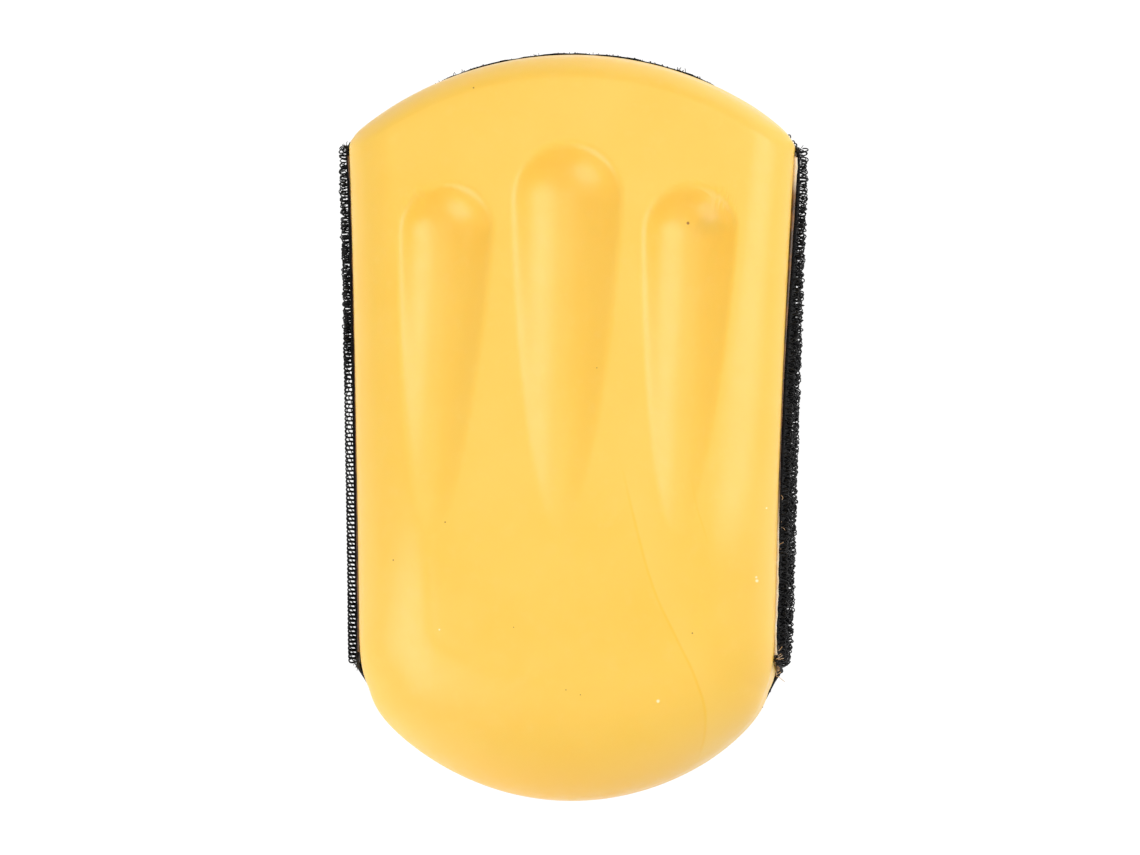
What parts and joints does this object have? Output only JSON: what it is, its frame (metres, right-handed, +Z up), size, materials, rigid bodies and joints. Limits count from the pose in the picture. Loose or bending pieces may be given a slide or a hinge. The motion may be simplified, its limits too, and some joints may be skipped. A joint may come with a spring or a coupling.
{
  "type": "hand sanding block",
  "caption": "Mouse-shaped moulded foam sanding block with three finger grooves on top and a woven hook sheet on its base and flanks for round loop-backed discs.",
  "frame": {"origin": "under the middle of the block, on the plane that the hook tips rest on", "axes": "+Z up through the palm crest, +Y towards the fingertip end of the grooves, X = 0 is the plane of symmetry"},
  "size_m": [0.0802, 0.1263, 0.037],
  "materials": {
    "foam_skin": "satin moulded polyurethane skin with faint flow lines and pinholes",
    "contact_adhesive": "pale dried glue",
    "woven_nylon": "black woven ground",
    "nylon_hooks": "black monofilament hooks"
  },
  "bodies": {
    "root": {"foam_body": "foam_skin", "adhesive_film": "contact_adhesive", "hook_sheet_ground": "woven_nylon", "hook_pile": "nylon_hooks"}
  },
  "joints": []
}
